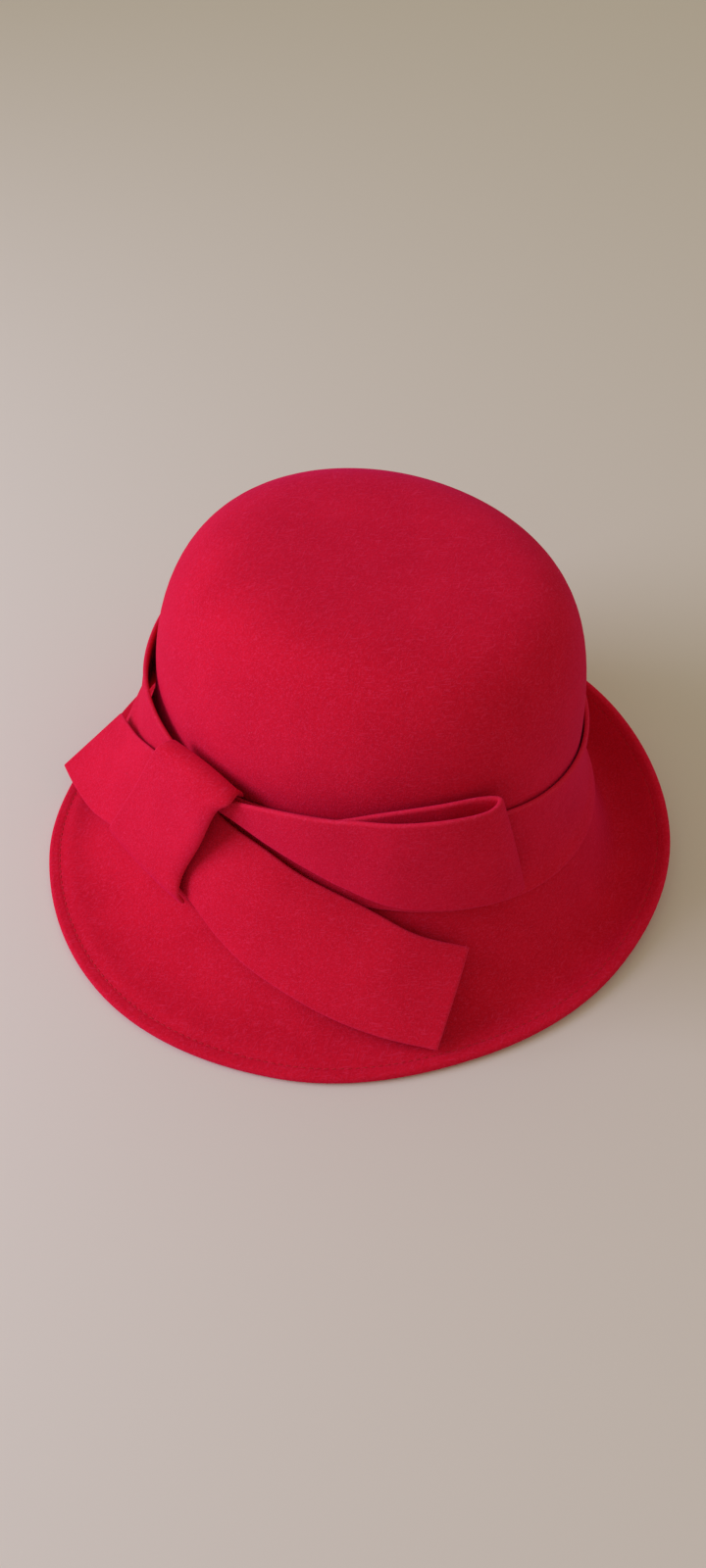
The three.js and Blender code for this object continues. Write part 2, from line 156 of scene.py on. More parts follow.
def mix(a, b, part):
    """From a to b in a straight line."""
    return a + (b - a) * part


def brim_curves(turn):
    """The wall, the slope, the curl and the hem, each as its number of steps and its corners. Where
    the brim's edge isn't turned up, all its low corners lie at the height of the hem."""
    reach, low_out = column(BRIM, "reach", turn), column(BRIM, "low_out", turn)
    edge_up = np.maximum(0, column(BRIM, "edge_up", turn))
    flat = 1 - np.minimum(1, edge_up / HEM_THICKNESS)
    low_z = mix(FELT, HEM_THICKNESS + LOW_ABOVE_HEM, flat)
    edge_z = mix(low_z + edge_up, HEM_THICKNESS, flat)
    wall_out = column(BRIM, "wall_out", turn)
    break_out = WALL_FLARE + wall_out
    run = low_out - break_out
    hem_out = reach - HEM_WIDTH * np.cos(np.arctan2(edge_up, reach - low_out))
    hem_z = mix(mix(low_z, edge_z, HEM_START_SHARE), HEM_THICKNESS, flat)
    nothing = 0 * turn
    top, fold_line = (nothing, nothing + CROWN_WIDEST), (break_out, nothing + BREAK_HEIGHT)
    upper, lower = ((out + wall_out, nothing + z) for out, z in (WALL_UPPER, WALL_LOWER))
    steep = (break_out + STEEP_OUT + STEEP_SHARE * run, nothing + BREAK_HEIGHT - STEEP_DROP)
    low, hem, edge = (low_out, low_z), (hem_out, hem_z), (reach, edge_z)
    eased = (low_out - EASE_SHARE * run, low_z)
    curl_start = (mix(low_out, hem_out, CURL_FLAT_SHARE), low_z)
    curl_end = (mix(low_out, hem_out, CURL_RISE_OUT), mix(low_z, hem_z, CURL_RISE_UP))
    near, far = ((mix(hem_out, reach, part), mix(hem_z, edge_z, part)) for part in STRAIGHT_CORNERS)
    return [
        (WALL_STEPS, top, upper, lower, fold_line),
        (SLOPE_STEPS, fold_line, steep, eased, low),
        (CURL_STEPS, low, curl_start, curl_end, hem),
        (HEM_STEPS, hem, near, far, edge),
    ]


print("at the front the brim's lowest corner is", brim_curves(np.array([90.0]))[2][1])

# %% [markdown]
# Now the whole skin: the dome first, and the four curves after it.

# %% The skin
DOME_STEPS = 40
DOME_CROWDING = 2.6


def bezier(corners, steps):
    """The points after the first on a cubic Bezier curve, for every turn at once: the corners
    weighted by (1-t)^3, 3t(1-t)^2, 3t^2(1-t) and t^3."""
    t = (np.arange(1, steps + 1) / steps)[None, :, None]
    a, b, c, d = (np.stack(corner, axis=-1)[:, None] for corner in corners)
    return (1 - t) ** 3 * a + 3 * t * (1 - t) ** 2 * b + 3 * t * t * (1 - t) * c + t**3 * d


def skin(turn):
    """The outer skin as points [turn, step, xyz] from the crown's top to the brim's edge."""
    turn = np.asarray(turn, float)
    climb = math.pi / 2 * (1 - (np.arange(DOME_STEPS + 1) / DOME_STEPS) ** DOME_CROWDING)
    shrink = np.cos(climb) ** CROWN_ROUNDNESS
    shrink[0] = 0
    rise = (CROWN_TOP - CROWN_WIDEST) * np.sin(climb) ** CROWN_SHOULDER
    dome = beside_oval(turn[:, None], shrink[None], 0, CROWN_WIDEST + rise[None])
    below = np.concatenate([bezier(corners, steps) for steps, *corners in brim_curves(turn)], axis=1)
    return np.concatenate([dome, beside_oval(turn[:, None], 1, below[..., 0], below[..., 1])], axis=1)


print("one meridian has", skin([0.0]).shape[1], "points")

# %% [markdown]
# The band and the bow lie on the skin, so they need a point at a drop, which is a distance in
# millimetres down the skin from the band line. The distance is added up along each meridian, and the
# point is found between the two steps that it falls between. A lift then moves it off the skin.

# %% Points on the skin and off it
AROUND_DEGREES, DOWN_SKIN = 1.0, 3.0


def on_skin(turn, drop):
    """The skin at drop[turn, n] below the band line, by the length along each meridian."""
    points = skin(turn)
    along = np.cumsum(np.linalg.norm(np.diff(points, axis=1, prepend=points[:, :1]), axis=2), axis=1)
    every = np.arange(len(points))
    under = (points[:, :, 2] > BAND_LINE).sum(axis=1)
    z0, z1 = points[every, under - 1, 2], points[every, under, 2]
    line = mix(along[every, under - 1], along[every, under], (z0 - BAND_LINE) / (z0 - z1))
    wanted = line[:, None] + drop
    step = (along[:, :, None] <= wanted[:, None, :]).sum(axis=1).clip(1, points.shape[1] - 1)
    a0, a1 = np.take_along_axis(along, step - 1, 1), np.take_along_axis(along, step, 1)
    part = ((wanted - a0) / (a1 - a0))[..., None]
    return mix(points[every[:, None], step - 1], points[every[:, None], step], part)


def off_skin(turn, drop, lift):
    """The skin moved by lift along its normal, the normal being square to the way down and round."""
    turn, drop = np.asarray(turn, float), np.asarray(drop, float)
    drop = drop.reshape(len(turn), -1)
    around = on_skin(turn + AROUND_DEGREES, drop) - on_skin(turn - AROUND_DEGREES, drop)
    down = on_skin(turn, drop + DOWN_SKIN) - on_skin(turn, drop - DOWN_SKIN)
    normal = np.cross(down, around)
    normal /= np.linalg.norm(normal, axis=-1, keepdims=True)
    return on_skin(turn, drop) + normal * np.reshape(lift, drop.shape)[..., None]


print("a point 20 mm below the band line at the front:", on_skin([90.0], [[20.0]])[0, 0].round(1))

# %% [markdown]
# A grid becomes a mesh by writing whole arrays into it. Faces are numbered from the grid, corners
# are shared, and the piece rides on the hat's only body. The object stays at the origin.

# %% Put a grid into a mesh
ALMOST_NOTHING = 1e-9


def grid_quads(index, loops=False):
    """The quads of a grid of point numbers, as rows of four. A looping grid also joins its last row
    to its first."""
    after = np.roll(index, -1, axis=0)
    rows = slice(None) if loops else slice(0, -1)
    a, b = index[rows, :-1], after[rows, :-1]
    c, d = after[rows, 1:], index[rows, 1:]
    return np.stack([a, b, c, d], axis=-1).reshape(-1, 4)


def volume_of(points, faces):
    """Six times the volume inside the faces: each face fanned into triangles, and for each triangle
    one corner times the cross product of the other two."""
    fans = [face[:, [0, k, k + 1]] for face in faces for k in range(1, face.shape[1] - 1)]
    a, b, c = (points[np.concatenate(fans)[:, k]] for k in range(3))
    return (a * np.cross(b, c)).sum()


def mesh_piece(name, points, faces, nodes=()):
    """A smooth mesh of points in millimetres and groups of faces with equal numbers of corners. The
    faces are turned round together if they enclose a negative volume."""
    points = np.asarray(points) + CENTRE
    if volume_of(points, faces) < 0:
        faces = [face[:, ::-1] for face in faces]
    counts = np.concatenate([np.full(len(face), face.shape[1]) for face in faces])
    starts = np.concatenate([[0], np.cumsum(counts)[:-1]])
    mesh = bpy.data.meshes.new(name)
    mesh.vertices.add(len(points))
    mesh.vertices.foreach_set("co", (points * MM).astype(np.float32).ravel())
    mesh.loops.add(int(counts.sum()))
    mesh.loops.foreach_set("vertex_index", np.concatenate([face.ravel() for face in faces]).astype(np.int32))
    mesh.polygons.add(len(counts))
    mesh.polygons.foreach_set("loop_start", starts.astype(np.int32))
    mesh.update(calc_edges=True)
    mesh.validate()
    mesh.polygons.foreach_set("use_smooth", np.ones(len(mesh.polygons), bool))
    piece = bpy.data.objects.new(name, mesh)
    bpy.context.scene.collection.objects.link(piece)
    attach(piece, "root")
    if nodes:
        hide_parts(*nodes)
    print(name, len(mesh.vertices), "points,", int((counts - 2).sum()), "triangles")
    return piece


def normals_of(grid, loops=False):
    """Unit normals of a grid of points: the cross product of its two directions, over its length."""
    if loops:
        along = np.roll(grid, -1, axis=0) - np.roll(grid, 1, axis=0)
    else:
        along = np.gradient(grid, axis=0)
    normal = np.cross(along, np.gradient(grid, axis=1))
    return normal / np.maximum(np.linalg.norm(normal, axis=-1, keepdims=True), ALMOST_NOTHING)


# %% [markdown]
# The body is blocked: a felt cone is steamed and pulled over a wooden block, so the crown and the
# brim are one piece. At the edge the felt is folded under by 7 mm and stitched, which makes the rim
# twice as thick and rounds it. The thread pulls a shallow groove into both sides. This cell measures
# the way in from the edge, and from it works out how thick the felt is and how deep the groove.

# %% The hem and its groove
BODY_TURNS = 320
STITCH_FROM_EDGE = 5.5
GROOVE_DEPTH, GROOVE_WIDTH = 0.3, 1.3
HEM_STEP_WIDTH = 1.0
LEVEL_MARGIN = 1e-6

turns = np.arange(BODY_TURNS) * 360 / BODY_TURNS
outer = skin(turns)
outward = normals_of(outer, loops=True)
outward[:, 0] = [0, 0, 1]
outward *= np.sign(outward[..., 2:3] + LEVEL_MARGIN)
steps_out = np.linalg.norm(np.diff(outer, axis=1, append=outer[:, -1:]), axis=2)
from_edge = steps_out[:, ::-1].cumsum(axis=1)[:, ::-1]


def smooth_step(value, low, high):
    """0 below low, 1 above high, and an even curve between."""
    part = np.clip((value - low) / (high - low), 0, 1)
    return part * part * (3 - 2 * part)


past_hem = smooth_step(from_edge, HEM_WIDTH - HEM_STEP_WIDTH / 2, HEM_WIDTH + HEM_STEP_WIDTH / 2)
thickness = mix(HEM_THICKNESS, FELT, past_hem)[..., None]
groove = GROOVE_DEPTH * np.exp(-(((from_edge - STITCH_FROM_EDGE) / (GROOVE_WIDTH / 2)) ** 2))[..., None]
print("the felt is", thickness.min(), "to", thickness.max(), "mm thick")

# %% [markdown]
# One closed grid then makes the body. It runs down the outside, round the fold in a half circle,
# back over the hem's raw edge as a small step, and up the inside to the top again.

# %% The felt body
FOLD_STEPS = 10

radius = HEM_THICKNESS / 2
kept = (from_edge > radius).sum(axis=1).min()
edge_way = outer[:, -1] - outer[:, -3]
edge_way /= np.linalg.norm(edge_way, axis=-1, keepdims=True)
rim = outer[:, -1] - edge_way * radius
rim_normal = outward[:, -2]
bend = np.linspace(0, math.pi, FOLD_STEPS + 1)[None, :, None]
fold = (rim - rim_normal * radius)[:, None] + radius * (
    rim_normal[:, None] * np.cos(bend) + edge_way[:, None] * np.sin(bend)
)
above = outer - outward * groove
below = outer - outward * (thickness - groove)
body_grid = np.concatenate([above[:, 1:kept], fold, below[:, 1:kept][:, ::-1]], axis=1)
body_grid[..., 2] = np.maximum(body_grid[..., 2], 0)
top = np.array([[0, -CROWN_LEAN, CROWN_TOP], [0, -CROWN_LEAN, CROWN_TOP - FELT]])
number = np.arange(body_grid[..., 0].size).reshape(body_grid.shape[:2])
poles = np.array([number.size, number.size + 1])
next_row = np.roll(number, -1, axis=0)
cap = np.stack([poles[0] + 0 * number[:, 0], number[:, 0], next_row[:, 0]], axis=-1)
inner_cap = np.stack([poles[1] + 0 * number[:, -1], next_row[:, -1], number[:, -1]], axis=-1)
body_points = np.concatenate([body_grid.reshape(-1, 3), top])
body_faces = [grid_quads(number, loops=True)[:, ::-1], cap, inner_cap]
body = mesh_piece("felt_shell", body_points, body_faces, ["felt_body"])

# %% [markdown]
# The hem is sewn by machine, with a stitch about every 3 mm. Each stitch is a short thread that
# comes out of the felt, lies in the groove and goes in again. All of them are one mesh: a spindle
# that is repeated along two closed lines, one on each side of the brim, as whole arrays.

# %% The stitches along the hem
STITCH_PITCH, STITCH_LENGTH, THREAD = 3.2, 2.5, 0.4
SINK_SHARE = 0.35
SPINDLE_RINGS, SPINDLE_SIDES = 5, 6


def brim_line(grid, distance):
    """The closed line on one side of the brim at a distance in from the edge: on each meridian, the
    point between the two steps that the distance falls between."""
    every = np.arange(len(grid))
    step = (from_edge > distance).sum(axis=1)
    far, near = from_edge[every, step - 1], from_edge[every, step]
    part = ((far - distance) / (far - near))[:, None]
    return mix(grid[every, step - 1], grid[every, step], part)


def stitch_row(line, normals):
    """Spindles along a closed line: the radius and the rise are a circle's height over the length,
    and the ends sink into the felt."""
    closed = np.concatenate([line, line[:1]])
    closed_normals = np.concatenate([normals, normals[:1]])
    way = np.linalg.norm(np.diff(closed, axis=0, prepend=closed[:1]), axis=1).cumsum()
    count = round(way[-1] / STITCH_PITCH)
    middle = (np.arange(count) + 0.5) * way[-1] / count
    along = np.linspace(-1, 1, SPINDLE_RINGS + 2)
    place = middle[:, None] + along * STITCH_LENGTH / 2
    spine, up = (np.stack([np.interp(place, way, value[:, k]) for k in range(3)], axis=-1)
                 for value in (closed, closed_normals))
    ahead = np.gradient(spine, axis=1)
    side = np.cross(ahead, up)
    side /= np.linalg.norm(side, axis=-1, keepdims=True)
    swell = THREAD / 2 * np.sqrt(1 - along**2)[None, :, None]
    spine = spine + up * (swell - SINK_SHARE * THREAD / 2)
    round_it = np.arange(SPINDLE_SIDES) * 2 * math.pi / SPINDLE_SIDES
    ring = up[:, 1:-1, None] * np.cos(round_it)[:, None] + side[:, 1:-1, None] * np.sin(round_it)[:, None]
    rings = spine[:, 1:-1, None] + swell[:, 1:-1, None] * ring
    return np.concatenate([rings.reshape(count, -1, 3), spine[:, [0, -1]]], axis=1)


stitches = np.concatenate([
    stitch_row(brim_line(above, STITCH_FROM_EDGE), brim_line(outward, STITCH_FROM_EDGE)),
    stitch_row(brim_line(below, STITCH_FROM_EDGE), -brim_line(outward, STITCH_FROM_EDGE)),
])
stitches[..., 2] = np.maximum(stitches[..., 2], 0)
ring_number = np.arange(SPINDLE_RINGS * SPINDLE_SIDES).reshape(SPINDLE_RINGS, SPINDLE_SIDES)
start, end = ring_number.size, ring_number.size + 1
after = np.roll(ring_number, -1, axis=1)
sides = np.stack([ring_number[:-1], after[:-1], after[1:], ring_number[1:]], axis=-1).reshape(-1, 4)
first_fan = np.stack([start + 0 * after[0], after[0], ring_number[0]], axis=-1)
last_fan = np.stack([end + 0 * after[-1], ring_number[-1], after[-1]], axis=-1)
offset = np.arange(len(stitches))[:, None, None] * stitches.shape[1]
stitch_faces = [(offset + fan).reshape(-1, fan.shape[1]) for fan in (sides, first_fan, last_fan)]
hem_stitches = mesh_piece("hem_stitches", stitches.reshape(-1, 3), stitch_faces)
print(len(stitches), "stitches in two rows")

# %% [markdown]
# The band and the bow are strips cut from flat felt, so their edges are square cuts that have
# softened a little. Each strip starts as the grid of its middle surface. Two more grids lie half a
# thickness on either side, and close to the edges they run together on a superellipse, which gives
# a nearly square edge with no separate rim faces. The points also remember how near they are to a
# cut, because the loose fibres there look paler, and the colour there is also lightened as a painted
# highlight of the edge catching light.

# %% A strip of felt with soft cut edges
EDGE_ROUND, EDGE_SQUARENESS, EDGE_STEPS = 1.5, 2.3, 6
# How far in from a cut the colour goes paler: loose fibres there, and a painted highlight of the edge.
FRAY_AND_HIGHLIGHT_WIDTH = 1.6


def spread(length, steps):
    """Parts from 0 to 1 along a length, crowded by a cosine into the rounded edge at both ends."""
    near = EDGE_ROUND * (1 - np.cos(np.linspace(0, math.pi / 2, EDGE_STEPS + 1)))
    middle = np.linspace(EDGE_ROUND, length - EDGE_ROUND, steps)[1:-1]
    return np.concatenate([near, middle, (length - near)[::-1]]) / length


def roundness(distance):
    """The share of the full thickness at a distance from a cut edge: a superellipse up to the
    rounding's width and 1 beyond it."""
    part = np.clip(1 - distance / EDGE_ROUND, 0, 1)
    return (1 - part**EDGE_SQUARENESS) ** (1 / EDGE_SQUARENESS)


def cut_distances(middle, loops):
    """How far each point lies from each of its cut edges, by the length along the grid's lines."""
    side = np.linalg.norm(np.diff(middle, axis=1, prepend=middle[:, :1]), axis=2).cumsum(axis=1)
    distances = [side, side[:, -1:] - side]
    if not loops:
        end = np.linalg.norm(np.diff(middle, axis=0, prepend=middle[:1]), axis=2).cumsum(axis=0)
        distances += [end, end[-1:] - end]
    return distances


def felt_sheet(name, middle, node, loops=False):
    """A closed sheet round a middle surface: half a thickness to each side, less near the edges."""
    distances = cut_distances(middle, loops)
    half = np.prod([roundness(distance) for distance in distances], axis=0) * FELT / 2
    offset = normals_of(middle, loops) * half[..., None]
    front = np.arange(half.size).reshape(half.shape)
    back = front.copy()
    inside = np.s_[:, 1:-1] if loops else np.s_[1:-1, 1:-1]
    back[inside] = half.size + np.arange(back[inside].size).reshape(back[inside].shape)
    points = np.concatenate([(middle + offset).reshape(-1, 3), (middle - offset)[inside].reshape(-1, 3)])
    faces = np.concatenate([grid_quads(front, loops), grid_quads(back, loops)[:, ::-1]])
    piece = mesh_piece(name, points, [faces], [node])
    # Near a cut the colour is marked to go paler: partly loose fibres, partly a painted highlight of the
    # edge.
    fray_and_highlight = 1 - smooth_step(np.min(distances, axis=0), 0, FRAY_AND_HIGHLIGHT_WIDTH)
    edge_fray_and_highlight = piece.data.attributes.new("edge_fray_and_highlight", "FLOAT", "POINT")
    edge_fray_and_highlight.data.foreach_set("value", np.concatenate([fray_and_highlight.ravel(), fray_and_highlight[inside].ravel()]))
    return piece


# %% [markdown]
# The band is one strip, sewn where the bow hides its ends. It hugs the crown at the front, and
# stands away from it behind the bow, where the photo shows a dark gap.

# %% The band
BAND = {
    "top_drop": [14, 2, -1, 3, 7, 7, 4, 2, 4, 8, 9, 9],
    "bottom_drop": [58, 50, 51, 55, 58, 57, 54, 52, 55, 67, 70, 62],
    "top_lift": [2.6, 1.8, 1.8, 1.8, 1.8, 1.8, 1.8, 1.8, 1.8, 1.8, 3.0, 5.6],
    "bottom_lift": [2.6, 1.8, 1.8, 1.8, 1.8, 1.8, 1.8, 1.8, 2.0, 2.2, 6.0, 7.0],
}
BAND_TURNS = 288
BAND_ACROSS = 22
BAND_WIDTH = 50.0

band_turn = np.arange(BAND_TURNS) * 360 / BAND_TURNS
part = spread(BAND_WIDTH, BAND_ACROSS)[None]
edges = {name: column(BAND, name, band_turn)[:, None] for name in BAND}
band_middle = off_skin(
    band_turn,
    mix(edges["top_drop"], edges["bottom_drop"], part),
    mix(edges["top_lift"], edges["bottom_lift"], part),
)
band = felt_sheet("band_strip", band_middle, "band", loops=True)

# %% [markdown]
# Each strip of the bow has a row for each section, with the place of its two edges. A smooth curve
# goes through the sections' ends on each side, and the felt is ruled between the two curves, because
# a strip of stiff felt bends one way only. A bulge of a millimetre or so keeps it from looking cut
# out of card.

# %% Curves through the sections
DENSE_STEPS = 60


def curve_through(ends, part):
    """A smooth curve through points: between two of them a cubic that leaves each one along the
    line between its neighbours, at half that line's length."""
    padded = np.concatenate([[2 * ends[0] - ends[1]], ends, [2 * ends[-1] - ends[-2]]])
    place = part * (len(ends) - 1)
    row = np.minimum(np.floor(place).astype(int), len(ends) - 2)
    t = (place - row)[:, None]
    p0, p1, p2, p3 = (padded[row + k] for k in range(4))
    leave, arrive = (p2 - p0) / 2, (p3 - p1) / 2
    return (
        (2 * t**3 - 3 * t**2 + 1) * p1
        + (t**3 - 2 * t**2 + t) * leave
        + (-2 * t**3 + 3 * t**2) * p2
        + (t**3 - t**2) * arrive
    )


def bulged(height):
    """A parabola that is highest halfway across the strip."""
    return lambda part, way: height * 4 * part * (1 - part) + 0 * way


def ruled(top_ends, bottom_ends, rise, along, across):
    """The middle surface of a strip: straight lines between two curves, moved outwards by the rise,
    which depends on the part across and the way along."""
    dense = np.linspace(0, 1, DENSE_STEPS)
    top_line, bottom_line = curve_through(top_ends, dense), curve_through(bottom_ends, dense)
    length = np.linalg.norm(np.diff((top_line + bottom_line) / 2, axis=0), axis=1).sum()
    width = np.linalg.norm(top_line - bottom_line, axis=1).mean()
    way, part = spread(length, along), spread(width, across)[None, :, None]
    flat = mix(curve_through(top_ends, way)[:, None], curve_through(bottom_ends, way)[:, None], part)
    normal = normals_of(flat)
    normal *= np.sign((normal * flat).sum(axis=-1, keepdims=True))
    return flat + normal * rise(part, way[:, None, None])


def bow_ends(rows, side):
    """Where one edge's section ends lie: the three columns of that side put off the skin."""
    turn, drop, lift = np.array(rows, float)[:, 3 * side : 3 * side + 3].T
    return off_skin(turn, drop, lift)[:, 0]


# %% [markdown]
# The tails are the lowest strips. The right one slants forward over the brim and ends in a slanted
# cut. The left one is shorter, and its corner stands out past the brim's edge.

# %% The tails
# the columns are the top edge's turn, drop and lift, then the bottom edge's turn, drop and lift
RIGHT_TAIL = [
    (-3, 24, 5.4, -3, 76, 4.0),
    (4, 27, 6.4, 3, 78, 5.0),
    (15, 30, 6.4, 11, 84, 5.5),
    (25, 36.5, 6.4, 20, 90, 6.0),
    (40, 47.5, 6.6, 33, 98, 6.0),
    (51, 58, 7.0, 44, 106, 5.0),
    (62, 66, 7.0, 54, 113, 3.0),
]
LEFT_TAIL = [
    (-8, 21, 6.7, -8, 74, 4.0),
    (-14, 22, 7.2, -15, 78, 4.3),
    (-23, 26, 8.6, -24, 84, 5.6),
    (-34.5, 38, 9.7, -33.5, 96.5, 6.5),
    (-43, 50, 11.0, -41.5, 107.5, 7.4),
    (-49.3, 56, 11.6, -47.8, 116.5, 7.4),
]
RIGHT_BULGE, LEFT_BULGE = 1.5, 0.0
TAIL_ALONG, TAIL_ACROSS = 120, 26


def bow_strip(name, rows, bulge, along, across, node):
    """A strip of the bow, from its table to its sheet."""
    middle = ruled(bow_ends(rows, 0), bow_ends(rows, 1), bulged(bulge), along, across)
    return felt_sheet(name, middle, node)


right_tail = bow_strip("right_tail_strip", RIGHT_TAIL, RIGHT_BULGE, TAIL_ALONG, TAIL_ACROSS,
                       "right_tail")
left_tail = bow_strip("left_tail_strip", LEFT_TAIL, LEFT_BULGE, TAIL_ALONG, TAIL_ACROSS,
                      "left_tail")

# %% [markdown]
# The loop runs out from under the wrap, folds back on itself without a crease, and returns behind
# its own front. Seen from above the fold is a teardrop. The table has the same columns as the tails.

# %% The loop
LOOP = [
    (1, 12, 8.6, 1, 19, 8.6),
    (9, 5, 9.5, 9, 18, 9.0),
    (19, -2, 10.0, 17, 21, 9.5),
    (29, -7, 11.0, 26, 25, 10.5),
    (37, -11, 12.0, 35, 31, 11.0),
    (46, -14, 14.0, 46, 38, 12.0),
    (56, -16, 14.5, 59, 41, 12.0),
    (65, -15.5, 12.5, 71, 43, 11.5),
    (69, -16, 8.0, 77, 45, 8.0),
    (65, -16, 5.0, 71, 43, 5.6),
    (55, -15, 4.8, 57, 40, 5.4),
    (42, -10, 4.8, 42, 36, 5.1),
    (28, 1, 4.9, 27, 26, 5.0),
    (14, 8, 5.2, 14, 23, 5.2),
    (1, 13, 5.5, 1, 20, 5.5),
]
LOOP_BULGE = 0.5
LOOP_ALONG, LOOP_ACROSS = 260, 26

bow_loop = bow_strip("loop_strip", LOOP, LOOP_BULGE, LOOP_ALONG, LOOP_ACROSS,
                     "bow_loop")

# %% [markdown]
# The wrap covers the middle of the bow. It comes up from behind the band, turns over the band's top
# edge, and runs down over the other strips to the brim. Its front edge is rolled down, in a quarter
# of an ellipse, so it casts a dark slot on the tail.

# %% The wrap
# the columns are the front edge's turn, distance out from the oval and height, the back edge's, and
# the depth of the roll
WRAP = [
    (8.5, 3.5, 84.5, -14, 4.5, 83.5, 0),
    (8.5, 7.0, 89.5, -14, 7.5, 88, 0.5),
    (8.5, 13.0, 90, -14.5, 12.5, 87.5, 1.5),
    (6, 17.5, 84, -16, 16.0, 79, 2.4),
    (2.5, 23.0, 61, -18.5, 23.5, 61, 2.4),
    (-0.5, 29.2, 41.5, -21, 31.0, 44, 2.2),
    (0, 33.6, 32, -23, 37.5, 29, 1.6),
    (1, 32.4, 25.5, -23.5, 35.5, 23.5, 0.5),
]
WRAP_BULGE = 1.0
ROLL_SHARE = 0.12
WRAP_ALONG, WRAP_ACROSS = 140, 60

wrap_rows = np.array(WRAP, float)
row_ways = np.linspace(0, 1, len(WRAP))


def wrap_rise(part, way):
    """The bulge, less the roll: down by the height of an ellipse as the front edge comes near."""
    into = np.clip(1 - part / ROLL_SHARE, 0, 1)
    roll = np.interp(way, row_ways, wrap_rows[:, 6])
    return bulged(WRAP_BULGE)(part, way) - roll * (1 - np.sqrt(1 - into**2))


wrap_front, wrap_back = (
    beside_oval(turn, 1.0, out, z) for turn, out, z in (wrap_rows[:, :3].T, wrap_rows[:, 3:6].T)
)
wrap_middle = ruled(wrap_front, wrap_back, wrap_rise, WRAP_ALONG, WRAP_ACROSS)
bow_wrap = felt_sheet("wrap_strip", wrap_middle, "bow_wrap")

# %% [markdown]
# Wool felt looks soft because short fibres stand up all over it: they catch light at grazing angles,
# which is the sheen, and there is no shine. The dye takes unevenly, so the red is a fine mixture of
# lighter and darker fibres, with a few single fibres that lie on top. Real fibres are some 0.03 mm
# thick, far too fine to show here, so the grain and the fibres are drawn about a millimetre and half
# a millimetre coarse.

# %% Colours and a node helper


def linear(hex_colour):
    """An sRGB hex colour as linear red, green and blue, and 1 for alpha."""
    channels = [int(hex_colour[k : k + 2], 16) / 255 for k in (1, 3, 5)]
    return (*(c / 12.92 if c <= 0.04045 else ((c + 0.055) / 1.055) ** 2.4 for c in channels), 1.0)


def add(tree, kind, links=(), **settings):
    """Adds one node. A setting named as an attribute sets it, and any other sets the input of that
    name. links pairs an input's name or number with the output socket that feeds it."""
    node = tree.nodes.new(kind)
    for name, value in settings.items():
        if hasattr(node, name):
            setattr(node, name, value)
        else:
            node.inputs[name.replace("_", " ")].default_value = value
    for name, output in links:
        tree.links.new(output, node.inputs[name])
    return node


# %% [markdown]
# The single fibres are a noise that is stretched along one direction until its spots are threads,
# with a slow swirl added to the place first so that they curl. Three such directions, of which the
# strongest shows at each point, give fibres every way, as felting leaves them.

# %% Fibres that lie on the felt
FIBRE_LENGTH_MM, FIBRE_WIDTH_MM = 4.5, 0.5
SWIRL_MM, SWIRL_REACH_MM = 7.0, 3.0
FIBRE_TURNS = [(0, 0, 20), (0, 65, 80), (60, 0, 140)]
FIBRE_FROM, FIBRE_FULL = 0.62, 0.78


def fibres(tree, place):
    """From 0 on bare felt to 1 on a fibre."""
    swirl = add(tree, "ShaderNodeTexNoise", [("Vector", place)], Scale=1 / (SWIRL_MM * MM), Detail=1.0)
    curled = add(tree, "ShaderNodeVectorMath", [(0, swirl.outputs["Color"]), (2, place)],
                 operation="MULTIPLY_ADD")
    curled.inputs[1].default_value = [SWIRL_REACH_MM * MM] * 3
    strongest = None
    for turned in FIBRE_TURNS:
        stretched = add(tree, "ShaderNodeMapping", [("Vector", curled.outputs[0])], vector_type="TEXTURE",
                        Rotation=[math.radians(angle) for angle in turned],
                        Scale=[FIBRE_LENGTH_MM * MM, FIBRE_WIDTH_MM * MM, FIBRE_WIDTH_MM * MM])
        threads = add(tree, "ShaderNodeTexNoise", [("Vector", stretched.outputs[0])], Scale=1.0, Detail=0.0)
        if strongest is None:
            strongest = threads
        else:
            strongest = add(tree, "ShaderNodeMath", [(0, strongest.outputs[0]), (1, threads.outputs[0])],
                            operation="MAXIMUM")
    shown = add(tree, "ShaderNodeMapRange", [("Value", strongest.outputs[0])],
                From_Min=FIBRE_FROM, From_Max=FIBRE_FULL)
    return shown.outputs[0]


# %% [markdown]
# The felt mixes its darker and lighter red by a fine grain and a slow mottling, lays the fibres over
# it, and lets the cut edges go paler, partly for their loose fibres and partly as a painted highlight
# of the edge catching light. The same grain and fibres raise the surface a little as bump.

# %% Wool felt
GRAIN_MM, MOTTLE_MM = 1.1, 22.0
MOTTLE_SHARE = 0.35
GRAIN_LOW, GRAIN_HIGH = 0.34, 0.66
# EDGE_SHOWS is how much paler the cut edges go, for loose fibres and as a painted highlight.
FIBRE_SHOWS, EDGE_SHOWS, FIBRE_HEIGHT = 0.35, 0.22, 0.5
BUMP_MM, BUMP_STRENGTH = 0.22, 0.5
FELT_ROUGHNESS, FELT_SPECULAR = 0.95, 0.03
SHEEN_WEIGHT, SHEEN_ROUGHNESS, SHEEN_TINT = 0.2, 0.5, "#FF38B0"
BODY_REDS = ("#C31028", "#D51731", "#E2335B")
STRIP_REDS = ("#C51129", "#D71833", "#E4355D")


